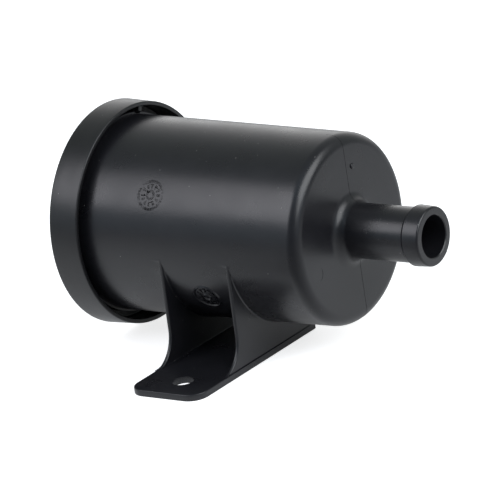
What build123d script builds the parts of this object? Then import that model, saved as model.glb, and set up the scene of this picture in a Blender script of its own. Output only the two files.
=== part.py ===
from build123d import *
import os
from math import cos, pi, radians, sin, sqrt, tan

# All sizes are in millimetres.
# The origin is the centre of the fixing hole on the underside of the foot plate.
# +X runs along the canister towards the hose nipple, +Z is the normal of the foot plate.

# Where the canister lies over the foot
cover_back_from_hole = 57.8
axis_behind_hole = 50.4
axis_height = 42.7

# Foot plate, ribs and fixing hole
plate_width = 30.2
plate_length = 71.9
plate_thickness = 2.4
plate_front_round = 6.0
plate_rear_round = 2.0
plate_edge_bevel = 0.2
hole_radius = 3.9
hole_from_front = 11.3
hole_from_cover_side = 16.0
rib_thickness = 1.4
rib_step_from_plate_edge = 0.1
rib_front_proud = 0.7
rib_front_lean = 3.2
rib_sweep_radius = 11.6
rib_sweep_sink = 0.1
rib_rear_step = 2.6
rib_root_round = 0.6

# Canister. Stations are distances along the axis from the outer face of the cover.
mouth_station = 5.1
end_station = 101.4
body_radius_at_mouth = 34.95
body_radius_at_end = 33.5
body_wall = 2.0
end_wall = 2.5
shoulder_round = 4.8
inner_corner_bevel = 2.4
snap_ring_height = 0.9
snap_ring_width = 2.2

# Hose nipple
nipple_radius = 9.5
nipple_wall = 2.15
nipple_length = 33.6
nipple_flare_round = 4.0
bead_height = 0.9
bead_ramp_length = 2.6
bead_land_length = 6.7
bead_tip_bevel = 0.6
bore_mouth_bevel = 0.3

# Seat collar for the filter cartridge, inside the end wall
collar_wall = 2.85
collar_height = 7.0

# Gate mark beside the nipple
gate_radius = 0.9
gate_height = 0.7
gate_offset = 5.0
gate_rise = 21.4

# Cover
inlet_gap = 3.15
cover_wall = 1.6
cover_draft = 0.45
cover_disc_thickness = 2.0
cover_depth = 11.8
cover_back_bevel = 0.5
cover_lip_bevel = 0.35
cover_pad_count = 5
cover_pad_width = 1.8
cover_pad_first_angle = 74.0
cover_pad_reach_inside = 1.45
cover_pad_from_lip = 2.6
snap_clearance = 0.15
boss_radius = 12.0
boss_wall = 1.6
boss_length = 9.5
boss_rib_height = 2.4
gate_dimple_radius = 3.0
gate_dimple_depth = 0.5

# Filter cartridge
cartridge_clearance = 2.1
disc_thickness = 2.6
disc_rim_height = 2.4
disc_rim_wall = 1.2
open_disc_from_end_wall = 3.4
media_clearance = 0.25
paper_thickness = 0.55
pleat_count = 36
tube_wall = 1.2
tube_from_collar = 2.75
tube_from_media = 0.2
window_rows = 3
window_columns = 4
window_length = 19.0
window_width = 12.0
seal_width = 1.8
seal_height = 2.2
seal_clearance = 0.05

nipple_end_station = end_station + nipple_length
nipple_bore_radius = nipple_radius - nipple_wall
bead_radius = nipple_radius + bead_height
collar_radius = nipple_bore_radius + collar_wall
cover_radius_at_lip = body_radius_at_mouth + inlet_gap + cover_wall
cover_pad_inner_radius = body_radius_at_mouth - body_wall - cover_pad_reach_inside
closed_disc_station = cover_disc_thickness + boss_length
cartridge_radius = body_radius_at_end - body_wall - cartridge_clearance
tube_radius = collar_radius + tube_from_collar + tube_wall
pleat_tip_radius = cartridge_radius - disc_rim_wall - media_clearance
pleat_root_radius = tube_radius + tube_from_media
rib_stations = [
    cover_back_from_hole - hole_from_cover_side + rib_step_from_plate_edge,
    cover_back_from_hole - hole_from_cover_side + plate_width - rib_step_from_plate_edge - rib_thickness,
]


def body_radius(station):
    draft = (body_radius_at_mouth - body_radius_at_end) / (end_station - mouth_station)
    return body_radius_at_mouth - draft * (station - mouth_station)


def cover_radius(station):
    return cover_radius_at_lip + cover_draft * (cover_depth - station) / cover_depth


def turned(points, rounds=()):
    # A section of station and radius pairs, its named corners rounded, turned about the canister axis
    section = make_face(Polyline(*points, close=True))
    for corner, radius in rounds:
        section = fillet(section.vertices().sort_by_distance((*corner, 0))[0], radius)
    return revolve(section, Axis.X)


def placed(shape):
    # From canister coordinates to the part's own frame
    return Pos(-cover_back_from_hole, axis_behind_hole, axis_height) * shape


def around(shape, count, first_angle=0.0):
    return [Rot(first_angle + 360 / count * i, 0, 0) * shape for i in range(count)]


def canister_outside():
    ring_radius = body_radius(mouth_station) + snap_ring_height
    ring_end = mouth_station + snap_ring_width
    bead_land = nipple_end_station - bead_land_length
    shoulder = (end_station, body_radius_at_end)
    flare = (end_station, nipple_radius)
    points = [
        (mouth_station, 0),
        (mouth_station, ring_radius),
        (ring_end, ring_radius),
        (ring_end, body_radius(ring_end)),
        shoulder,
        flare,
        (bead_land - bead_ramp_length, nipple_radius),
        (bead_land, bead_radius),
        (nipple_end_station - bead_tip_bevel, bead_radius),
        (nipple_end_station, bead_radius - bead_tip_bevel),
        (nipple_end_station, 0),
    ]
    return turned(points, [(shoulder, shoulder_round), (flare, nipple_flare_round)])


def canister_hollow():
    inner_end = end_station - end_wall
    collar_tip = inner_end - collar_height
    corner_start = inner_end - inner_corner_bevel
    points = [
        (mouth_station, 0),
        (mouth_station, body_radius(mouth_station) - body_wall),
        (corner_start, body_radius(corner_start) - body_wall),
        (inner_end, body_radius(inner_end) - body_wall - inner_corner_bevel),
        (inner_end, collar_radius),
        (collar_tip, collar_radius),
        (collar_tip, nipple_bore_radius),
        (nipple_end_station - bore_mouth_bevel, nipple_bore_radius),
        (nipple_end_station, nipple_bore_radius + bore_mouth_bevel),
        (nipple_end_station, 0),
    ]
    return turned(points)


def foot_plate():
    x0 = -hole_from_cover_side
    x1 = x0 + plate_width
    y0 = -hole_from_front
    y1 = y0 + plate_length
    outline = make_face(Polyline((x0, y0), (x1, y0), (x1, y1), (x0, y1), close=True))
    for corner, radius in [
        ((x0, y0), plate_front_round),
        ((x1, y0), plate_front_round),
        ((x0, y1), plate_rear_round),
        ((x1, y1), plate_rear_round),
    ]:
        outline = fillet(outline.vertices().sort_by_distance((*corner, 0))[0], radius)
    plate = extrude(outline, plate_thickness)
    rims = plate.edges().filter_by(lambda e: abs(e.center().Z) < 0.01 or abs(e.center().Z - plate_thickness) < 0.01)
    return chamfer(rims, plate_edge_bevel)


def foot_rib(station):
    # Front edge: down from near the canister's widest point, leaning out, then swept forward onto the plate
    lean = radians(rib_front_lean)
    bottom_z = plate_thickness - rib_sweep_sink
    knee_y = axis_behind_hole - body_radius(station) - rib_front_proud
    knee_z = bottom_z + rib_sweep_radius * (1 - sin(lean))
    sweep_end = (knee_y - rib_sweep_radius * cos(lean), bottom_z)
    top = (knee_y + (axis_height - knee_z) * tan(lean), axis_height)
    rear_y = plate_length - hole_from_front - rib_rear_step
    front = Line(top, (knee_y, knee_z)) + RadiusArc((knee_y, knee_z), sweep_end, rib_sweep_radius)
    back = Polyline(sweep_end, (rear_y, bottom_z), (rear_y, axis_height), top)
    section = make_face(Plane.YZ * (front + back))
    return Pos(station - cover_back_from_hole, 0, 0) * extrude(section, rib_thickness)


def rib_sides():
    sides = []
    for station in rib_stations:
        x = station - cover_back_from_hole
        sides += [x, x + rib_thickness]
    return sides


def in_plane_x(edge, x):
    box = edge.bounding_box()
    return abs(box.min.X - x) < 0.001 and abs(box.max.X - x) < 0.001


def with_round_roots(shape):
    # Where the facing sides of the ribs meet the plate
    roots = []
    for x in rib_sides()[1:3]:
        side_lines = shape.edges().filter_by(lambda e: in_plane_x(e, x)).filter_by(GeomType.LINE)
        roots.append(side_lines.sort_by(SortBy.LENGTH)[-1])
    return fillet(roots, rib_root_round)


def housing():
    outside = placed(canister_outside()) + foot_plate()
    for station in rib_stations:
        outside += foot_rib(station)
    outside = with_round_roots(outside)
    gate_at = Pos(end_station, gate_offset, gate_rise) * Rot(0, 90, 0)
    gate = gate_at * Cylinder(gate_radius, gate_height * 2)
    outside += placed(gate)
    hole = Cylinder(hole_radius, plate_thickness * 3)
    return outside - placed(canister_hollow()) - hole


def cover_pad():
    # Web that spaces the cover from the canister, carries the mouth and hooks behind the snap ring
    outer = cover_radius_at_lip - cover_wall / 2
    pad_end = cover_depth - cover_pad_from_lip
    ring_radius = body_radius(mouth_station) + snap_ring_height
    ring_end = mouth_station + snap_ring_width
    hook_radius = body_radius(ring_end) + snap_clearance
    points = [
        (cover_disc_thickness / 2, cover_pad_inner_radius),
        (mouth_station, cover_pad_inner_radius),
        (mouth_station, ring_radius + snap_clearance),
        (ring_end + snap_clearance, ring_radius + snap_clearance),
        (ring_end + snap_clearance, hook_radius),
        (pad_end - snap_ring_height, hook_radius),
        (pad_end, hook_radius + snap_ring_height),
        (pad_end, outer),
        (cover_disc_thickness / 2, outer),
    ]
    return extrude(make_face(Polyline(*points, close=True)), cover_pad_width / 2, both=True)


def cover():
    bevel_end = cover_depth - cover_lip_bevel
    cup = turned(
        [
            (0, 0),
            (0, cover_radius(0) - cover_back_bevel),
            (cover_back_bevel, cover_radius(cover_back_bevel)),
            (bevel_end, cover_radius(bevel_end)),
            (cover_depth, cover_radius_at_lip - cover_lip_bevel),
            (cover_depth, cover_radius_at_lip - cover_wall + cover_lip_bevel),
            (bevel_end, cover_radius(bevel_end) - cover_wall),
            (cover_disc_thickness, cover_radius(cover_disc_thickness) - cover_wall),
            (cover_disc_thickness, 0),
        ]
    )
    boss = turned(
        [
            (cover_disc_thickness / 2, boss_radius - boss_wall),
            (cover_disc_thickness / 2, boss_radius),
            (closed_disc_station, boss_radius),
            (closed_disc_station, boss_radius - boss_wall),
        ]
    )
    rib_span = cover_pad_inner_radius - boss_radius + boss_wall
    rib = Pos((cover_disc_thickness + boss_rib_height) / 2, 0, boss_radius - boss_wall / 2 + rib_span / 2) * Box(
        cover_disc_thickness + boss_rib_height, cover_pad_width, rib_span
    )
    ribs = around(rib, cover_pad_count, cover_pad_first_angle - 90)
    dimple = Rot(0, 90, 0) * Cylinder(gate_dimple_radius, gate_dimple_depth * 2)
    shape = cup + boss
    for piece in around(cover_pad(), cover_pad_count, cover_pad_first_angle) + ribs:
        shape += piece
    return placed(shape - dimple)


def end_disc_section(face_station, towards_media, inner_radius):
    # Flat disc with a rim that holds the ends of the pleats
    back = face_station
    front = face_station + towards_media * disc_thickness
    rim = front + towards_media * disc_rim_height
    return [
        (back, inner_radius),
        (back, cartridge_radius),
        (rim, cartridge_radius),
        (rim, cartridge_radius - disc_rim_wall),
        (front, cartridge_radius - disc_rim_wall),
        (front, inner_radius),
    ]


def closed_end_disc():
    return placed(turned(end_disc_section(closed_disc_station, 1, 0)))


def open_disc_station():
    return end_station - end_wall - open_disc_from_end_wall


def open_end_disc():
    inner_radius = collar_radius + seal_width + 2 * seal_clearance
    return placed(turned(end_disc_section(open_disc_station(), -1, inner_radius)))


def media_span():
    start = closed_disc_station + disc_thickness
    return start, open_disc_station() - disc_thickness - start


def star(tip_radius, root_radius):
    step = pi / pleat_count
    corners = []
    for i in range(2 * pleat_count):
        radius = tip_radius if i % 2 == 0 else root_radius
        corners.append((radius * cos(i * step), radius * sin(i * step)))
    return make_face(Polyline(*corners, close=True))


def filter_media():
    # One folded sheet: the inner star is the outer one moved in by the paper's slant thickness
    step = pi / pleat_count
    run = pleat_tip_radius * sin(step)
    fold_shift = paper_thickness * sqrt((pleat_tip_radius - pleat_root_radius) ** 2 + run**2) / run
    start, length = media_span()
    wall = star(pleat_tip_radius, pleat_root_radius + fold_shift) - star(pleat_tip_radius - fold_shift, pleat_root_radius)
    return placed(Pos(start, 0, 0) * Rot(0, 90, 0) * extrude(wall, length))


def support_tube():
    start, length = media_span()
    tube = turned(
        [
            (start, tube_radius - tube_wall),
            (start, tube_radius),
            (start + length, tube_radius),
            (start + length, tube_radius - tube_wall),
        ]
    )
    pitch = length / window_rows
    window = Box(window_length, window_width, 3 * tube_wall)
    for row in range(window_rows):
        in_row = Pos(start + pitch * (row + 0.5), 0, tube_radius) * window
        tube -= around(in_row, window_columns, 180 / window_columns * (row % 2))
    return placed(tube)


def seal_ring():
    inner = collar_radius + seal_clearance
    outer = inner + seal_width
    back = open_disc_station() - (disc_thickness - seal_height) / 2
    return placed(turned([(back, inner), (back, outer), (back - seal_height, outer), (back - seal_height, inner)]))


nodes = {
    "housing": housing(),
    "cover": cover(),
    "closed_end_disc": closed_end_disc(),
    "open_end_disc": open_end_disc(),
    "filter_media": filter_media(),
    "support_tube": support_tube(),
    "seal_ring": seal_ring(),
}

os.makedirs("parts", exist_ok=True)
for name, shape in nodes.items():
    export_step(shape, f"parts/{name}.step")
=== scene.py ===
from math import atan2, cos, pi, radians, sin, tan

import bmesh
import bpy
from mathutils import Matrix, Vector


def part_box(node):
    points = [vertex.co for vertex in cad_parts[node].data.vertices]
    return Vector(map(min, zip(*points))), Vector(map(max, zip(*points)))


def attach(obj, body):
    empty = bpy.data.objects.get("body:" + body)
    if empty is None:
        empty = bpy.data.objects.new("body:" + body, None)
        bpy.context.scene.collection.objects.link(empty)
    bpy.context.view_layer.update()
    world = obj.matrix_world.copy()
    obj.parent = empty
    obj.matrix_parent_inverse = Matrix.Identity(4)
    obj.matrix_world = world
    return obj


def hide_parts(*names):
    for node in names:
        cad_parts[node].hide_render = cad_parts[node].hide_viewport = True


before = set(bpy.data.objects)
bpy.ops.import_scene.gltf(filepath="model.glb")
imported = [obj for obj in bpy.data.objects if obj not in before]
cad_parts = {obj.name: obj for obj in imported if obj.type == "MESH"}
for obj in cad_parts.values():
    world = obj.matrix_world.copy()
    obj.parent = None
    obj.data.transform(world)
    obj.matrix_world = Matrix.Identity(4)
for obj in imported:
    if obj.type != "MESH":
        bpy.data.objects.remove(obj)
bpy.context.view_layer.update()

mm = 0.001
mergeWithin = 0.002 * mm  # points closer together than this become one
pastFace = 1.0  # how far, in mm, a cutter or an added form runs past the face it meets
coverLow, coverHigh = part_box("cover")
axisY = (coverLow.y + coverHigh.y) / 2
axisZ = (coverLow.z + coverHigh.z) / 2
backX = coverLow.x  # outer face of the cover; stations are measured from it, along the canister
onAxis = Matrix.Translation((backX, axisY, axisZ))


# Small helpers

def fromHex(code):
    channels = [int(code[i:i + 2], 16) / 255 for i in (1, 3, 5)]
    linear = [c / 12.92 if c <= 0.04045 else ((c + 0.055) / 1.055) ** 2.4 for c in channels]
    return (*linear, 1.0)


def addNode(tree, kind, inputs=None, **settings):
    # An input takes a value, a socket, or a node, which stands for its first output
    node = tree.nodes.new(kind)
    for name, value in settings.items():
        setattr(node, name, value)
    for key, value in (inputs or {}).items():
        if isinstance(value, bpy.types.Node):
            value = value.outputs[0]
        if isinstance(value, bpy.types.NodeSocket):
            tree.links.new(value, node.inputs[key])
        else:
            node.inputs[key].default_value = value
    return node


def newTree(name, inputs):
    tree = bpy.data.node_groups.new(name, "GeometryNodeTree")
    tree.interface.new_socket("Geometry", in_out="INPUT", socket_type="NodeSocketGeometry")
    for label, kind, value in inputs:
        socket = tree.interface.new_socket(label, in_out="INPUT", socket_type=kind)
        if value is not None:
            socket.default_value = value
    tree.interface.new_socket("Material", in_out="INPUT", socket_type="NodeSocketMaterial")
    tree.interface.new_socket("Geometry", in_out="OUTPUT", socket_type="NodeSocketGeometry")
    return tree, tree.nodes.new("NodeGroupInput").outputs


def closeTree(tree, geometry, given):
    real = addNode(tree, "GeometryNodeRealizeInstances", {"Geometry": geometry})
    painted = addNode(
        tree, "GeometryNodeSetMaterial", {"Geometry": real, "Material": given["Material"]},
    )
    addNode(tree, "NodeGroupOutput", {"Geometry": painted})


def newPiece(name, mesh):
    piece = bpy.data.objects.new(name, mesh)
    bpy.context.scene.collection.objects.link(piece)
    return piece


def settle(piece):
    # Every modifier becomes plain mesh
    graph = bpy.context.evaluated_depsgraph_get()
    mesh = bpy.data.meshes.new_from_object(piece.evaluated_get(graph))
    piece.modifiers.clear()
    piece.data = mesh
    return piece


def grow(piece, tree, values):
    modifier = piece.modifiers.new(tree.name, "NODES")
    modifier.node_group = tree
    for item in tree.interface.items_tree:
        if item.in_out == "INPUT" and item.name in values:
            modifier[item.identifier] = values[item.name]
    return settle(piece)


def cleaned(piece):
    work = bmesh.new()
    work.from_mesh(piece.data)
    bmesh.ops.remove_doubles(work, verts=work.verts, dist=mergeWithin)
    bmesh.ops.dissolve_degenerate(work, edges=work.edges, dist=mergeWithin / 2)
    bmesh.ops.recalc_face_normals(work, faces=work.faces)
    work.to_mesh(piece.data)
    work.free()
    return piece


def combine(piece, tool, operation):
    modifier = piece.modifiers.new(operation, "BOOLEAN")
    modifier.operation = operation
    modifier.solver = "MANIFOLD"
    modifier.object = tool
    settle(piece)
    bpy.data.objects.remove(tool)
    return piece


def moved(piece, matrix):
    piece.data.transform(matrix)
    return piece


def shaded(piece, sharpFrom=radians(35)):
    for polygon in piece.data.polygons:
        polygon.use_smooth = True
    piece.data.set_sharp_from_angle(angle=sharpFrom)
    return piece


def rounded(corners, stepAngle=radians(9)):
    # Corners are (x, y) or (x, y, round); each round becomes an arc
    points = []
    for i, corner in enumerate(corners):
        here = Vector(corner[:2])
        if len(corner) < 3:
            points.append(here)
            continue
        before = (Vector(corners[i - 1][:2]) - here).normalized()
        after = (Vector(corners[(i + 1) % len(corners)][:2]) - here).normalized()
        half = before.angle(after) / 2
        centre = here + (before + after).normalized() * corner[2] / sin(half)
        start = here + before * corner[2] / tan(half) - centre
        end = here + after * corner[2] / tan(half) - centre
        turn = atan2(start.x * end.y - start.y * end.x, start.dot(end))
        steps = max(2, round(abs(turn) / stepAngle))
        points += [centre + Matrix.Rotation(turn * k / steps, 2) @ start for k in range(steps + 1)]
    return points


def refined(points, longest):
    fine = [points[0]]
    for a, b in zip(points, points[1:]):
        parts = max(1, round((b - a).length / longest))
        fine += [a.lerp(b, k / parts) for k in range(1, parts + 1)]
    return fine


def profileMesh(name, points):
    mesh = bpy.data.meshes.new(name)
    edges = [(k, k + 1) for k in range(len(points) - 1)]
    mesh.from_pydata([(p.x * mm, p.y * mm, 0) for p in points], edges, [])
    return mesh


def prism(name, points, plane, low, high):
    # A flat outline given thickness; plane says which axes the outline's x and y are
    axes = [Vector((1, 0, 0)), Vector((0, 1, 0)), Vector((0, 0, 1))]
    u, v = ["xyz".index(letter) for letter in plane]
    w = 3 - u - v
    corners = [
        (axes[u] * p[0] + axes[v] * p[1] + axes[w] * depth) * mm
        for depth in (low, high) for p in points
    ]
    count = len(points)
    ends = [tuple(range(count)), tuple(range(count, 2 * count))]
    sides = [(k, (k + 1) % count, count + (k + 1) % count, count + k) for k in range(count)]
    mesh = bpy.data.meshes.new(name)
    mesh.from_pydata(corners, [], ends + sides)
    return cleaned(newPiece(name, mesh))


def edged(piece, width, segments=3, fromAngle=radians(40)):
    modifier = piece.modifiers.new("edges", "BEVEL")
    modifier.width = width * mm
    modifier.segments = segments
    modifier.limit_method = "ANGLE"
    modifier.angle_limit = fromAngle
    return settle(piece)


def paint(piece, material):
    piece.data.materials.clear()
    piece.data.materials.append(material)


# Trees that turn a section about the canister axis and set copies around it

def turnTree():
    tree, given = newTree("turned section", [("Segments", "NodeSocketInt", 192)])
    size = addNode(tree, "GeometryNodeAttributeDomainSize", {"Geometry": given["Geometry"]})
    around = addNode(tree, "ShaderNodeMath", {0: given["Segments"], 1: 1.0}, operation="ADD")
    grid = addNode(
        tree, "GeometryNodeMeshGrid",
        {"Vertices X": size.outputs["Point Count"], "Vertices Y": around},
    )
    index = addNode(tree, "GeometryNodeInputIndex")
    share = addNode(tree, "ShaderNodeMath", {0: index, 1: around}, operation="DIVIDE")
    row = addNode(tree, "ShaderNodeMath", {0: share}, operation="FLOOR")
    column = addNode(tree, "ShaderNodeMath", {0: index, 1: around}, operation="MODULO")
    place = addNode(tree, "GeometryNodeInputPosition")
    section = addNode(
        tree, "GeometryNodeSampleIndex",
        {"Geometry": given["Geometry"], "Value": place, "Index": row},
        data_type="FLOAT_VECTOR", domain="POINT",
    )
    parts = addNode(tree, "ShaderNodeSeparateXYZ", {0: section})
    step = addNode(tree, "ShaderNodeMath", {0: 2 * pi, 1: given["Segments"]}, operation="DIVIDE")
    angle = addNode(tree, "ShaderNodeMath", {0: column, 1: step}, operation="MULTIPLY")
    cosine = addNode(tree, "ShaderNodeMath", {0: angle}, operation="COSINE")
    sine = addNode(tree, "ShaderNodeMath", {0: angle}, operation="SINE")
    y = addNode(tree, "ShaderNodeMath", {0: parts.outputs["Y"], 1: cosine}, operation="MULTIPLY")
    z = addNode(tree, "ShaderNodeMath", {0: parts.outputs["Y"], 1: sine}, operation="MULTIPLY")
    spot = addNode(tree, "ShaderNodeCombineXYZ", {"X": parts.outputs["X"], "Y": y, "Z": z})
    bent = addNode(tree, "GeometryNodeSetPosition", {"Geometry": grid, "Position": spot})
    joined = addNode(
        tree, "GeometryNodeMergeByDistance", {"Geometry": bent, "Distance": mergeWithin},
    )
    closeTree(tree, joined, given)
    return tree


def ringTree():
    tree, given = newTree(
        "ring of copies", [("Count", "NodeSocketInt", 8), ("First Angle", "NodeSocketFloat", 0.0)],
    )
    points = addNode(tree, "GeometryNodePoints", {"Count": given["Count"]})
    index = addNode(tree, "GeometryNodeInputIndex")
    step = addNode(tree, "ShaderNodeMath", {0: 2 * pi, 1: given["Count"]}, operation="DIVIDE")
    turn = addNode(
        tree, "ShaderNodeMath",
        {0: index, 1: step, 2: given["First Angle"]}, operation="MULTIPLY_ADD",
    )
    spin = addNode(tree, "ShaderNodeCombineXYZ", {"X": turn})
    copies = addNode(
        tree, "GeometryNodeInstanceOnPoints",
        {"Points": points, "Instance": given["Geometry"], "Rotation": spin},
    )
    closeTree(tree, copies, given)
    return tree


turnSection = turnTree()
setAround = ringTree()


def turned(name, points, segments=192, longest=6.0):
    piece = newPiece(name, profileMesh(name, refined(points, longest)))
    return cleaned(grow(piece, turnSection, {"Segments": segments}))


def copiedAround(piece, count, firstAngle):
    return cleaned(grow(piece, setAround, {"Count": count, "First Angle": firstAngle}))


# Materials

def newMaterial(name):
    material = bpy.data.materials.new(name)
    material.use_nodes = True
    tree = material.node_tree
    tree.nodes.clear()
    shader = addNode(tree, "ShaderNodeBsdfPrincipled")
    addNode(tree, "ShaderNodeOutputMaterial", {"Surface": shader})
    coords = addNode(tree, "ShaderNodeTexCoord").outputs["Object"]
    return material, tree, shader, coords


def glassFilledNylon(name, look):
    # Glass-filled nylon, injection moulded: satin black, a fine spark-eroded grain, cloudy sheen,
    # faint handling scratches and a few pale dust specks that settle on what faces up
    material, tree, shader, coords = newMaterial(name)
    cloud = addNode(
        tree, "ShaderNodeTexNoise",
        {"Vector": coords, "Scale": 1 / (look["cloudSize"] * mm), "Detail": 3.0, "Roughness": 0.55},
    )
    tint = addNode(
        tree, "ShaderNodeMix",
        {"Factor": cloud.outputs["Fac"], 6: fromHex(look["dark"]), 7: fromHex(look["light"])},
        data_type="RGBA",
    )
    grain = addNode(
        tree, "ShaderNodeTexNoise",
        {"Vector": coords, "Scale": 1 / (look["grainSize"] * mm), "Detail": 4.0, "Roughness": 0.6},
    )
    # Sheen: the cloud's middle tones, spread over the whole span of roughness
    sheen = addNode(
        tree, "ShaderNodeMapRange",
        {0: cloud.outputs["Fac"], 1: 0.3, 2: 0.7, 3: look["roughLow"], 4: look["roughHigh"]},
    )
    # Scratches: long thin cells, kept only where a broad noise lets them through
    stretched = addNode(
        tree, "ShaderNodeMapping",
        {"Vector": coords, "Rotation": look["scratchTurn"], "Scale": look["scratchStretch"]},
    )
    scratchNoise = addNode(
        tree, "ShaderNodeTexNoise",
        {"Vector": stretched, "Scale": 1 / (look["scratchGap"] * mm), "Detail": 2.0},
    )
    low, high = look["scratchSpan"]
    scratch = addNode(
        tree, "ShaderNodeMapRange",
        {0: scratchNoise.outputs["Fac"], 1: low, 2: high, 3: 0.0, 4: 1.0},
    )
    # Dust: small round specks, more of them on faces that look up
    cells = addNode(
        tree, "ShaderNodeTexVoronoi",
        {"Vector": coords, "Scale": 1 / (look["speckGap"] * mm), "Randomness": 1.0},
    )
    rim, core = look["speckSpan"]
    speck = addNode(
        tree, "ShaderNodeMapRange", {0: cells.outputs["Distance"], 1: rim, 2: core, 3: 0.0, 4: 1.0},
    )
    chance = addNode(tree, "ShaderNodeSeparateColor", {0: cells.outputs["Color"]})
    normal = addNode(tree, "ShaderNodeNewGeometry").outputs["Normal"]
    up = addNode(tree, "ShaderNodeSeparateXYZ", {0: normal})
    limit = addNode(
        tree, "ShaderNodeMapRange",
        {0: up.outputs["Z"], 1: 0.2, 2: 1.0, 3: 1 - look["dustAside"], 4: 1 - look["dustOnTop"]},
    )
    chosen = addNode(tree, "ShaderNodeMath", {0: chance, 1: limit}, operation="GREATER_THAN")
    dust = addNode(tree, "ShaderNodeMath", {0: speck, 1: chosen}, operation="MULTIPLY")
    dusted = addNode(
        tree, "ShaderNodeMix",
        {"Factor": dust, 6: tint.outputs[2], 7: fromHex(look["dustColour"])}, data_type="RGBA",
    )
    worn = addNode(
        tree, "ShaderNodeMath", {0: scratch, 1: look["scratchDepth"], 2: grain.outputs["Fac"]},
        operation="MULTIPLY_ADD",
    )
    bump = addNode(
        tree, "ShaderNodeBump",
        {"Height": worn, "Strength": look["grainStrength"], "Distance": look["grainHeight"] * mm},
    )
    tree.links.new(dusted.outputs[2], shader.inputs["Base Color"])
    tree.links.new(sheen.outputs[0], shader.inputs["Roughness"])
    tree.links.new(bump.outputs[0], shader.inputs["Normal"])
    shader.inputs["IOR"].default_value = look["ior"]
    return material


def plainMoulded(name, look):
    # Moulded plastic or rubber inside the canister: one tone, a soft grain, no dust or wear
    material, tree, shader, coords = newMaterial(name)
    grain = addNode(
        tree, "ShaderNodeTexNoise",
        {"Vector": coords, "Scale": 1 / (look["grainSize"] * mm), "Detail": 3.0},
    )
    tint = addNode(
        tree, "ShaderNodeMix",
        {"Factor": grain.outputs["Fac"], 6: fromHex(look["dark"]), 7: fromHex(look["light"])},
        data_type="RGBA",
    )
    bump = addNode(tree, "ShaderNodeBump", {
        "Height": grain.outputs["Fac"],
        "Strength": look["grainStrength"],
        "Distance": look["grainHeight"] * mm,
    })
    tree.links.new(tint.outputs[2], shader.inputs["Base Color"])
    tree.links.new(bump.outputs[0], shader.inputs["Normal"])
    shader.inputs["Roughness"].default_value = look["roughness"]
    shader.inputs["IOR"].default_value = look["ior"]
    return material


def filterPaper(name, look):
    # Resin-treated cellulose paper, wet-laid: pale fibres in all directions over a slightly
    # blotchy ground, quite matt
    material, tree, shader, coords = newMaterial(name)
    blotch = addNode(
        tree, "ShaderNodeTexNoise",
        {"Vector": coords, "Scale": 1 / (look["blotchSize"] * mm), "Detail": 2.0},
    )
    tint = addNode(
        tree, "ShaderNodeMix",
        {"Factor": blotch.outputs["Fac"], 6: fromHex(look["dark"]), 7: fromHex(look["light"])},
        data_type="RGBA",
    )
    lie = addNode(
        tree, "ShaderNodeTexNoise", {"Vector": coords, "Scale": 1 / (look["fibreLie"] * mm)},
    )
    swirled = addNode(
        tree, "ShaderNodeVectorMath",
        {0: lie.outputs["Color"], 1: (look["fibreLie"] * mm,) * 3, 2: coords},
        operation="MULTIPLY_ADD",
    )
    fibres = addNode(
        tree, "ShaderNodeTexVoronoi", {"Vector": swirled, "Scale": 1 / (look["fibreGap"] * mm)},
        feature="DISTANCE_TO_EDGE",
    )
    bump = addNode(tree, "ShaderNodeBump", {
        "Height": fibres.outputs["Distance"],
        "Strength": look["fibreStrength"],
        "Distance": look["fibreHeight"] * mm,
    })
    tree.links.new(tint.outputs[2], shader.inputs["Base Color"])
    tree.links.new(bump.outputs[0], shader.inputs["Normal"])
    shader.inputs["Roughness"].default_value = look["roughness"]
    shader.inputs["Specular IOR Level"].default_value = look["specular"]
    return material


housingLook = {
    "dark": "#17171A",
    "light": "#1E1E22",
    "cloudSize": 14.0,
    "grainSize": 0.45,  # drawn coarser than the real grain, so that it shows
    "grainStrength": 0.35,
    "grainHeight": 0.06,
    "roughLow": 0.26,
    "roughHigh": 0.33,
    "scratchGap": 1.2,
    "scratchDepth": -0.5,
    "scratchTurn": (0.4, 0.2, 0.9),
    "scratchStretch": (1.0, 0.03, 0.3),
    "scratchSpan": (0.70, 0.74),  # a scratch fades in between these tones of its noise
    "speckGap": 1.6,
    "speckSpan": (0.10, 0.06),  # rim and core of a speck, as shares of the gap
    "dustOnTop": 0.18,  # share of the specks kept on faces that look up
    "dustAside": 0.03,  # and on the others
    "dustColour": "#8E8C88",
    "ior": 1.53,
}
# The cover: the same nylon with a rougher sheen; both tones are painted shade, darker than the
# housing's, so its side reads dimmer
coverLookPaintedDarker = {
    **housingLook,
    "dark": "#131315",
    "light": "#19191B",
    "roughLow": 0.30,
    "roughHigh": 0.38,
    "cloudSize": 11.0,
}
housingPlastic = glassFilledNylon("glass-filled nylon, moulded black", housingLook)
coverPlastic = glassFilledNylon("glass-filled nylon, moulded black, cover", coverLookPaintedDarker)

# Dark grey, a little duller than the housing
discPlastic = plainMoulded("polyamide, moulded dark grey", {
    "dark": "#323235",
    "light": "#3A3A3D",
    "grainSize": 0.8,
    "grainStrength": 0.2,
    "grainHeight": 0.03,
    "roughness": 0.45,
    "ior": 1.53,
})

# Waxy black with the smoothest face of the inner pieces
tubePlastic = plainMoulded("polypropylene, moulded black", {
    "dark": "#29292A",
    "light": "#303031",
    "grainSize": 0.6,
    "grainStrength": 0.15,
    "grainHeight": 0.03,
    "roughness": 0.38,
    "ior": 1.49,
})

# Dull soft black
sealRubber = plainMoulded("nitrile rubber, moulded black", {
    "dark": "#1E1E1F",
    "light": "#262627",
    "grainSize": 0.3,
    "grainStrength": 0.3,
    "grainHeight": 0.02,
    "roughness": 0.6,
    "ior": 1.52,
})

paper = filterPaper("resin-treated filter paper", {
    "dark": "#C9B98D",
    "light": "#DDD0AA",
    "blotchSize": 6.0,
    "fibreLie": 1.5,
    "fibreGap": 0.35,
    "fibreStrength": 0.6,
    "fibreHeight": 0.08,
    "roughness": 0.85,
    "specular": 0.2,
})
print("materials made")


# Housing: canister, nipple, foot

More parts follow.
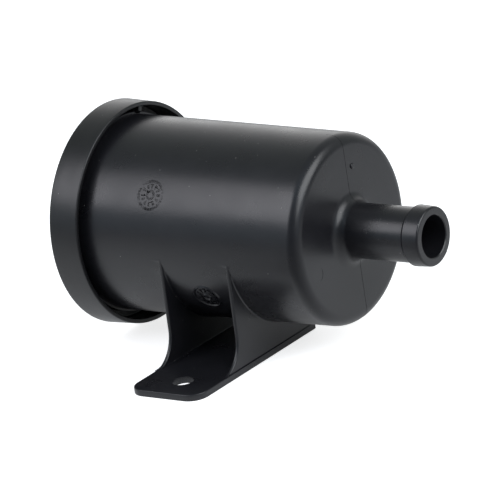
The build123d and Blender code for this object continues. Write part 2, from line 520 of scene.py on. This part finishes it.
canister = {
    "mouth": 5.1,
    "end": 101.4,
    "radiusAtMouth": 34.95,
    "radiusAtEnd": 33.5,
    "wall": 2.0,
    "endWall": 2.5,
    "shoulderRound": 4.4,
    "innerRound": 2.8,
    "snapHeight": 0.9,
    "snapWidth": 2.2,
    "snapRound": 0.3,
    "collarRadius": 10.2,
    "collarHeight": 7.0,
}
nipple = {
    "radius": 9.6,
    "bore": 7.35,
    "flareRound": 4.0,
    "beadRadius": 10.6,  # at its steep rear edge, from where it narrows towards the tip
    "tipRadius": 10.3,
    "rampStart": 127.9,
    "rampEnd": 128.9,
    "rampRootRound": 0.3,
    "rampTopRound": 0.25,
    "end": 135.0,
    "tipRound": 0.75,
    "boreRound": 0.3,
}
foot = {
    "width": 30.2,
    "length": 71.9,
    "thickness": 2.4,
    "holeRadius": 3.9,
    "holeFromFront": 11.3,
    "holeFromCoverSide": 16.0,
    "frontRound": 6.0,
    "rearRound": 1.0,
    "plateEdge": 0.3,
    "ribThickness": 1.4,
    "ribStep": 0.1,
    "ribProud": 0.7,
    "ribLean": radians(1.9),
    "ribSweep": 11.6,
    "sweepSteps": 20,
    "ribSink": 0.1,
    "ribDepth": 1.3,  # how far a rib goes on into the plate, so its rounded edges end out of sight
    "ribRearStep": 2.6,
    "ribEdge": 0.6,
    "rootRound": 0.5,
    "rootSink": 0.06,  # how far a root round goes under the face it stands on
    "rootBack": 0.2,  # and into its rib
    "rootRun": (-20, 70),  # front to rear, past both ends of a rib
    "rootBeside": 5,
}
marks = {
    "dials": [  # station, angle up from the front, height over the skin
        (39.1, radians(32.7), -0.75),
        (57.4, radians(-30.5), 0.4),
    ],
    "dialRings": [(0.9, 1.9), (4.5, 5.5)],
    "tickReach": (2.4, 4.0),
    "tickHalves": (0.3, 0.6),  # half its width near the hub and near the rim
    "tickCount": 12,
    "dialRoot": 0.3,  # how far a raised dial goes under the skin, and a sunken one's cutter over it
    "partingY": 1.5,
    "partingWidth": 0.17,
    "partingDepth": 0.07,
    "partingSpan": (95.0, 104.2),
    "gateAt": (5.05, 21.4),  # behind and above the canister axis
    "gateRadius": 1.0,
    "gateHeight": 0.45,
    "gateRound": 0.4,
    "ejectorAt": (-22.6, -8.2),
    "ejectorRadius": 2.5,
    "ejectorDepth": 0.06,
}


def bodyRadius(station):
    share = (station - canister["mouth"]) / (canister["end"] - canister["mouth"])
    return canister["radiusAtMouth"] + share * (canister["radiusAtEnd"] - canister["radiusAtMouth"])


def canisterOutside(grownBy=0.0):
    ringRadius = bodyRadius(canister["mouth"]) + canister["snapHeight"]
    ringEnd = canister["mouth"] + canister["snapWidth"]
    endFace = canister["end"] + grownBy
    nippleSkin = nipple["radius"] + grownBy
    corners = [
        (canister["mouth"], 0),
        (canister["mouth"], ringRadius, canister["snapRound"]),
        (ringEnd, ringRadius, canister["snapRound"]),
        (ringEnd, bodyRadius(ringEnd)),
        (endFace, canister["radiusAtEnd"] + grownBy, canister["shoulderRound"]),
        (endFace, nippleSkin, nipple["flareRound"]),
        (nipple["rampStart"], nippleSkin, nipple["rampRootRound"]),
        (nipple["rampEnd"], nipple["beadRadius"] + grownBy, nipple["rampTopRound"]),
        (nipple["end"], nipple["tipRadius"] + grownBy, nipple["tipRound"]),
        (nipple["end"], 0),
    ]
    return turned("canisterOutside", rounded(corners, stepAngle=radians(7)))


def canisterHollow():
    innerEnd = canister["end"] - canister["endWall"]
    collarTip = innerEnd - canister["collarHeight"]
    beforeMouth = canister["mouth"] - pastFace
    afterTip = nipple["end"] + pastFace
    boreMouth = nipple["bore"] + nipple["boreRound"]
    corners = [
        (beforeMouth, 0),
        (beforeMouth, bodyRadius(canister["mouth"]) - canister["wall"]),
        (innerEnd, canister["radiusAtEnd"] - canister["wall"], canister["innerRound"]),
        (innerEnd, canister["collarRadius"]),
        (collarTip, canister["collarRadius"]),
        (collarTip, nipple["bore"]),
        (nipple["end"] - nipple["boreRound"], nipple["bore"]),
        (nipple["end"], boreMouth),
        (afterTip, boreMouth),
        (afterTip, 0),
    ]
    return turned("canisterHollow", rounded(corners))


def footPlate():
    x0 = -foot["holeFromCoverSide"]
    x1 = x0 + foot["width"]
    y0 = -foot["holeFromFront"]
    y1 = y0 + foot["length"]
    outline = rounded([
        (x0, y0, foot["frontRound"]),
        (x1, y0, foot["frontRound"]),
        (x1, y1, foot["rearRound"]),
        (x0, y1, foot["rearRound"]),
    ])
    return edged(prism("plate", outline, "xy", 0, foot["thickness"]), foot["plateEdge"])


def ribOutline(x, inset=0.0):
    # The front edge leaves the canister near its widest point, leans out and sweeps forward onto
    # the plate. An inset outline lies that far inside the rib's own.
    axisOverFoot = axisZ / mm
    lean, sweepRadius, steps = foot["ribLean"], foot["ribSweep"], foot["sweepSteps"]
    kneeY = axisY / mm - bodyRadius((x * mm - backX) / mm) - foot["ribProud"] + inset
    bottom = foot["thickness"] - foot["ribSink"]
    buried = bottom - foot["ribDepth"]
    rear = foot["length"] - foot["holeFromFront"] - foot["ribRearStep"] - inset
    sweepCentre = Vector((kneeY - sweepRadius * cos(lean), bottom + sweepRadius))
    angles = [-lean - (pi / 2 - lean) * k / steps for k in range(steps + 1)]
    sweep = [sweepCentre + sweepRadius * Vector((cos(angle), sin(angle))) for angle in angles]
    top = Vector((kneeY + (axisOverFoot - sweep[0].y) * tan(lean), axisOverFoot))
    foundation = [Vector((sweep[-1].x, buried)), Vector((rear, buried))]
    return [top, *sweep, *foundation, Vector((rear, axisOverFoot))]


def footRib(x):
    rib = prism("rib", ribOutline(x), "yz", x, x + foot["ribThickness"])
    return edged(rib, foot["ribEdge"], segments=5)


def rootSection(x, side, level):
    # A hollow round in the corner between a rib's face at x and what it stands on
    r = foot["rootRound"]
    back, sunk = x - side * foot["rootBack"], level - foot["rootSink"]
    angles = [radians(15 * k) for k in range(7)]
    arc = [(x + side * r * (1 - cos(a)), level + r * (1 - sin(a))) for a in angles]
    return [(back, level + r), *arc, (x + side * r, sunk), (back, sunk)]


def ribRoots(x, side):
    # Along the plate, then round the canister's underside, both only as far as the rib reaches
    front, rear = foot["rootRun"]
    strip = prism("plateRoot", rootSection(x, side, foot["thickness"]), "xz", front, rear)
    station = x - backX / mm
    corners = [Vector(p) for p in rootSection(station, side, bodyRadius(station))]
    ring = moved(turned("canisterRoot", corners + corners[:1], segments=224), onAxis)
    low, high = x - foot["rootBeside"], x + foot["rootBeside"]
    for root in (strip, ring):
        combine(root, prism("reach", ribOutline(x, foot["ribEdge"]), "yz", low, high), "INTERSECT")
        yield root


def laidOn(piece, station, angle):
    # A flat piece, its x outwards, y round the canister and z along it, is bent onto the skin
    for vertex in piece.data.vertices:
        outward, sideways, along = vertex.co / mm
        radius = bodyRadius(station + along) + outward
        turn = angle + sideways / bodyRadius(station)
        vertex.co = Vector((station + along, -radius * cos(turn), radius * sin(turn))) * mm
    return moved(piece, onAxis)


def dialParts(height):
    # A plain mould dial, cut in or standing proud: two wedge-shaped rings and a circle of ticks
    root = marks["dialRoot"] if height < 0 else -marks["dialRoot"]
    for inner, outer in marks["dialRings"]:
        tip = (height, (inner + outer) / 2)
        corners = [tip, (0, outer), (root, outer), (root, inner), (0, inner), tip]
        yield turned("dialRing", [Vector(corner) for corner in corners], segments=64)
    near, far = marks["tickReach"]
    narrow, wide = marks["tickHalves"]
    outline = [(-narrow, near), (-wide, far), (wide, far), (narrow, near)]
    tick = prism("tick", outline, "yz", *sorted((height, root)))
    yield copiedAround(tick, marks["tickCount"], 0.0)


def partingCutter():
    # A thin slab that reaches just under the skin, where the mould's halves met
    low, high = marks["partingSpan"]
    reach = canister["radiusAtMouth"] + 2 * pastFace
    half = marks["partingWidth"] / 2
    outline = [(low, -reach), (high, -reach), (high, reach), (low, reach)]
    slab = prism("parting", outline, "xz", marks["partingY"] - half, marks["partingY"] + half)
    return moved(combine(slab, canisterOutside(-marks["partingDepth"]), "DIFFERENCE"), onAxis)


def onEndWall(name, corners, y, z):
    # A small turned form, its place given from the canister axis
    spot = Matrix.Translation((canister["end"] * mm, y * mm, z * mm))
    return moved(turned(name, rounded(corners), segments=48), onAxis @ spot)


def gateNub():
    radius, height = marks["gateRadius"], marks["gateHeight"]
    corners = [
        (-pastFace, 0), (-pastFace, radius), (height, radius, marks["gateRound"]), (height, 0),
    ]
    return onEndWall("gate", corners, *marks["gateAt"])


def ejectorCutter():
    radius, depth = marks["ejectorRadius"], marks["ejectorDepth"]
    corners = [(-depth, 0), (-depth, radius), (pastFace, radius), (pastFace, 0)]
    return onEndWall("ejector", corners, *marks["ejectorAt"])


def holeCutter():
    radius, top = foot["holeRadius"], foot["thickness"] + pastFace
    corners = [(-pastFace, 0), (-pastFace, radius), (top, radius), (top, 0)]
    return moved(turned("hole", rounded(corners), segments=64), Matrix.Rotation(-pi / 2, 4, "Y"))


def housingShape():
    shape = moved(canisterOutside(), onAxis)
    combine(shape, footPlate(), "UNION")
    coverSide = -foot["holeFromCoverSide"] + foot["ribStep"]
    nippleSide = foot["width"] - foot["holeFromCoverSide"] - foot["ribStep"] - foot["ribThickness"]
    for x in (coverSide, nippleSide):
        combine(shape, footRib(x), "UNION")
        for face, side in ((x, -1), (x + foot["ribThickness"], 1)):
            for root in ribRoots(face, side):
                combine(shape, root, "UNION")
    combine(shape, gateNub(), "UNION")
    combine(shape, ejectorCutter(), "DIFFERENCE")
    combine(shape, partingCutter(), "DIFFERENCE")
    for station, angle, height in marks["dials"]:
        for part in dialParts(height):
            combine(shape, laidOn(part, station, angle), "DIFFERENCE" if height < 0 else "UNION")
    combine(shape, moved(canisterHollow(), onAxis), "DIFFERENCE")
    return combine(shape, holeCutter(), "DIFFERENCE")


housing = housingShape()
housing.name = "housingBody"
shaded(cleaned(housing))
paint(housing, housingPlastic)
print("housing made", len(housing.data.polygons))


# Cover: skirted cup with pads and a boss

cover = {
    "radiusAtBack": 40.15,
    "radiusAtLip": 39.7,
    "wall": 1.6,
    "disc": 2.0,
    "depth": 11.8,
    "backRound": 0.6,
    "lipRound": 0.45,
    "innerRound": 0.6,
    "padCount": 5,
    "padWidth": 1.8,
    "padFirstAngle": radians(74),
    "padInner": 31.5,
    "padFromLip": 3.3,
    "padEdge": 0.2,
    "snapClearance": 0.15,
    "bossRadius": 12.0,
    "bossWall": 1.6,
    "bossEnd": 11.5,
    "bossRootRound": 0.4,
    "bossTipRound": 0.3,
    "ribHeight": 2.4,
    "ribIntoPad": 0.4,
    "dimpleRadius": 3.0,
    "dimpleDepth": 0.5,
    "dimpleRound": 0.15,
}


def coverCup():
    innerLip = cover["radiusAtLip"] - cover["wall"]
    innerBack = cover["radiusAtBack"] - cover["wall"]
    bossInside = cover["bossRadius"] - cover["bossWall"]
    corners = [
        (cover["dimpleDepth"], 0),
        (cover["dimpleDepth"], cover["dimpleRadius"], cover["dimpleRound"]),
        (0, cover["dimpleRadius"], cover["dimpleRound"]),
        (0, cover["radiusAtBack"], cover["backRound"]),
        (cover["depth"], cover["radiusAtLip"], cover["lipRound"]),
        (cover["depth"], innerLip, cover["lipRound"]),
        (cover["disc"], innerBack, cover["innerRound"]),
        (cover["disc"], cover["bossRadius"], cover["bossRootRound"]),
        (cover["bossEnd"], cover["bossRadius"], cover["bossTipRound"]),
        (cover["bossEnd"], bossInside, cover["bossTipRound"]),
        (cover["disc"], bossInside, cover["bossRootRound"]),
        (cover["disc"], 0),
    ]
    return turned("cup", rounded(corners, stepAngle=radians(12)), segments=224, longest=4.0)


def websAround(name, outline):
    # Thin upright webs, their edges broken, set round the axis
    half = cover["padWidth"] / 2
    web = edged(prism(name, outline, "xy", -half, half), cover["padEdge"], segments=2)
    return copiedAround(web, cover["padCount"], cover["padFirstAngle"])


def coverPads():
    # They space the cover off the canister and hook behind the ring at its mouth
    root = cover["disc"] / 2
    outer = cover["radiusAtLip"] - cover["wall"] / 2
    end = cover["depth"] - cover["padFromLip"]
    ring = bodyRadius(canister["mouth"]) + canister["snapHeight"] + cover["snapClearance"]
    ringEnd = canister["mouth"] + canister["snapWidth"] + cover["snapClearance"]
    hook = bodyRadius(ringEnd) + cover["snapClearance"]
    return websAround("pad", [
        (root, cover["padInner"]),
        (canister["mouth"], cover["padInner"]),
        (canister["mouth"], ring),
        (ringEnd, ring),
        (ringEnd, hook),
        (end - canister["snapHeight"], hook),
        (end, hook + canister["snapHeight"]),
        (end, outer),
        (root, outer),
    ])


def coverRibs():
    # From the boss out to the pads
    root, top = cover["disc"] / 2, cover["disc"] + cover["ribHeight"]
    inner = cover["bossRadius"] - cover["bossWall"] / 2
    outer = cover["padInner"] + cover["ribIntoPad"]
    return websAround("boss rib", [(root, inner), (top, inner), (top, outer), (root, outer)])


coverBody = coverCup()
combine(coverBody, coverPads(), "UNION")
combine(coverBody, coverRibs(), "UNION")
coverBody.name = "coverBody"
moved(shaded(cleaned(coverBody)), onAxis)
paint(coverBody, coverPlastic)
print("cover made", len(coverBody.data.polygons))


# What rides on what

for piece, node, slot in (
    (housing, "housing", "housing_plastic"),
    (coverBody, "cover", "cover_plastic"),
):
    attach(piece, "root")
    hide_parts(node)

for node, material in (
    ("closed_end_disc", discPlastic),
    ("open_end_disc", discPlastic),
    ("filter_media", paper),
    ("support_tube", tubePlastic),
    ("seal_ring", sealRubber),
):
    paint(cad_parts[node], material)


# Stage, light and camera

studio = {
    "floor": "#F0F0F0",
    "floorReach": 3.0,
    "floorLift": 0.75,  # share of the floor's tone, as the camera sees it, that shadows don't reach
    "floorGlow": 0.2,  # painted light: a glow that reflections see on the floor, on top of its own light
    "dimTowards": (0.57, -0.82),  # painted shade: reflections see the floor darker on the camera's side
    "dimFrom": (0.0, 0.02),
    "dimSpan": (0.05, 0.95),
    "dimTo": 0.28,
    "dimNear": (0.03, 0.09),  # no side is darker close under the object
    "dimReach": (0.06, 0.4),
    "dimFar": 0.55,
    "brightSide": (-0.45, 0.89),  # where the room is brightest round the object
    "roomTones": [  # how far towards that side, and the room's light there
        (0.0, 0.12, "#DCEFFF"),
        (0.07, 0.2, "#DCEFFF"),
        (0.12, 0.36, "#DCEFFF"),
        (0.26, 0.66, "#DCEFFF"),
        (0.4, 0.45, "#E6F3FF"),
        (0.5, 0.34, "#EAF6FF"),
        (0.65, 0.27, "#F2FFFA"),
        (0.73, 0.30, "#F4FFFA"),
        (0.80, 0.36, "#F6FFFC"),
        (0.865, 0.47, "#FAFFFE"),
        (0.915, 0.68, "#FFFFFF"),
        (0.965, 1.1, "#FFFFFF"),
        (1.0, 1.75, "#FFFFFF"),
    ],
    "roomPeak": 1.75,
}
boxes = {
    "left softbox": {
        "place": (-0.36, -0.57, 0.59),
        "size": (0.60, 0.54),
        "power": 2.9,
        "colour": (0.97, 0.95, 1.0),
    },
    "right softbox": {
        "place": (0.67, 0.04, 0.55),
        "size": (0.80, 0.58),
        "power": 4.9,
        "colour": (0.97, 0.98, 1.0),
    },
}
boxAim = (0.02, 0.05, 0.043)
photoView = {  # where the photograph was taken from, worked out from cover, nipple and foot
    "place": (833.52, -1008.39, 482.59),
    "right": (0.80598, 0.57333, -0.14726),
    "up": (-0.07212, 0.34204, 0.93692),
    "back": (0.58753, -0.74452, 0.31702),
    "sensor": 36,
    "lens": 292.18,
    "clipEnd": 20,
}


def paleStage():
    # Matt board, nearly white: no gloss, soft shadows, painted shade for reflections on the
    # camera's side
    material, tree, shader, coords = newMaterial("pale matt board")
    shader.inputs["Roughness"].default_value = 0.9
    shader.inputs["Specular IOR Level"].default_value = 0.0
    shader.inputs["Emission Color"].default_value = (1, 1, 1, 1)
    path = addNode(tree, "ShaderNodeLightPath").outputs
    offset = addNode(
        tree, "ShaderNodeVectorMath", {0: coords, 1: (*studio["dimFrom"], 0)}, operation="SUBTRACT",
    )
    heading = addNode(tree, "ShaderNodeVectorMath", {0: offset}, operation="NORMALIZE")
    towards = addNode(
        tree, "ShaderNodeVectorMath", {0: heading, 1: (*studio["dimTowards"], 0)},
        operation="DOT_PRODUCT",
    ).outputs["Value"]
    distance = addNode(
        tree, "ShaderNodeVectorMath", {0: offset}, operation="LENGTH",
    ).outputs["Value"]
    low, high = studio["dimSpan"]
    wedge = addNode(
        tree, "ShaderNodeMapRange", {0: towards, 1: low, 2: high, 3: 1.0, 4: studio["dimTo"]},
    )
    low, high = studio["dimNear"]
    close = addNode(tree, "ShaderNodeMapRange", {0: distance, 1: low, 2: high, 3: 1.0, 4: 0.0})
    side = addNode(tree, "ShaderNodeMath", {0: wedge, 1: close}, operation="MAXIMUM")
    low, high = studio["dimReach"]
    reach = addNode(
        tree, "ShaderNodeMapRange", {0: distance, 1: low, 2: high, 3: 1.0, 4: studio["dimFar"]},
    )
    # painted shade: the floor's colour, as reflections see it, falls off on the camera's side and
    # further from the object
    fall = addNode(tree, "ShaderNodeMath", {0: side, 1: reach}, operation="MULTIPLY")
    floorTone = fromHex(studio["floor"])
    tone = addNode(
        tree, "ShaderNodeMix", {"Factor": fall, 6: (0, 0, 0, 1), 7: floorTone}, data_type="RGBA",
    )
    seen = addNode(
        tree, "ShaderNodeMix",
        {"Factor": path["Is Camera Ray"], 6: tone.outputs[2], 7: floorTone}, data_type="RGBA",
    )
    # painted light: the floor glows to reflections, less where the painted shade falls
    glow = addNode(
        tree, "ShaderNodeMath", {0: fall, 1: studio["floorGlow"]}, operation="MULTIPLY",
    )
    lift = addNode(
        tree, "ShaderNodeMix", {"Factor": path["Is Camera Ray"], 2: glow, 3: studio["floorLift"]},
    )
    tree.links.new(seen.outputs[2], shader.inputs["Base Color"])
    tree.links.new(lift.outputs[0], shader.inputs["Emission Strength"])
    edge = studio["floorReach"]
    corners = [(-edge, -edge, 0), (edge, -edge, 0), (edge, edge, 0), (-edge, edge, 0)]
    mesh = bpy.data.meshes.new("floor")
    mesh.from_pydata(corners, [], [(0, 1, 2, 3)])
    mesh.materials.append(material)
    newPiece("floor", mesh)


def worldLight():
    # White where the camera sees it. To the object it is white behind on the left and falls off
    # from there.
    world = bpy.data.worlds.new("studio")
    world.use_nodes = True
    tree = world.node_tree
    tree.nodes.clear()
    direction = addNode(tree, "ShaderNodeTexCoord").outputs["Generated"]
    towards = addNode(
        tree, "ShaderNodeVectorMath", {0: direction, 1: (*studio["brightSide"], 0)},
        operation="DOT_PRODUCT",
    )
    share = addNode(
        tree, "ShaderNodeMapRange",
        {0: towards.outputs["Value"], 1: -1.0, 2: 1.0, 3: 0.0, 4: 1.0},
    )
    ramp = addNode(tree, "ShaderNodeValToRGB", {0: share})
    stops = ramp.color_ramp.elements  # it starts with one at 0 and one at 1
    for position, level, tint in studio["roomTones"][1:-1]:
        stops.new(position)
    for stop, (position, level, tint) in zip(stops, studio["roomTones"]):
        stop.color = [channel * level / studio["roomPeak"] for channel in fromHex(tint)]
    path = addNode(tree, "ShaderNodeLightPath").outputs
    seen = addNode(
        tree, "ShaderNodeMath", {0: path["Is Camera Ray"], 1: path["Is Transmission Ray"]},
        operation="MAXIMUM",
    )
    strength = addNode(tree, "ShaderNodeMix", {"Factor": seen, 2: studio["roomPeak"], 3: 1.0})
    tone = addNode(
        tree, "ShaderNodeMix", {"Factor": seen, 6: ramp, 7: (1, 1, 1, 1)}, data_type="RGBA",
    )
    shade = addNode(
        tree, "ShaderNodeBackground", {"Color": tone.outputs[2], "Strength": strength},
    )
    addNode(tree, "ShaderNodeOutputWorld", {"Surface": shade})
    bpy.context.scene.world = world


def softLamp(name, box):
    lamp = bpy.data.lights.new(name, "AREA")
    lamp.shape = "RECTANGLE"
    lamp.size, lamp.size_y = box["size"]
    lamp.energy = box["power"]
    lamp.color = box["colour"]
    aim = Vector(boxAim) - Vector(box["place"])
    holder = bpy.data.objects.new(name, lamp)
    holder.location = box["place"]
    holder.rotation_euler = aim.to_track_quat("-Z", "Y").to_euler()
    bpy.context.scene.collection.objects.link(holder)


def photoCamera():
    camera = bpy.data.cameras.new("camera")
    camera.sensor_width = photoView["sensor"]
    camera.lens = photoView["lens"]
    camera.clip_end = photoView["clipEnd"]
    facing = Matrix([photoView[way] for way in ("right", "up", "back")]).transposed()
    holder = bpy.data.objects.new("camera", camera)
    holder.matrix_world = Matrix.Translation(Vector(photoView["place"]) * mm) @ facing.to_4x4()
    bpy.context.scene.collection.objects.link(holder)
    bpy.context.scene.camera = holder


paleStage()
worldLight()
for name, box in boxes.items():
    softLamp(name, box)
photoCamera()
bpy.context.scene.view_settings.view_transform = "Standard"
print("floor, room, lights and camera set")
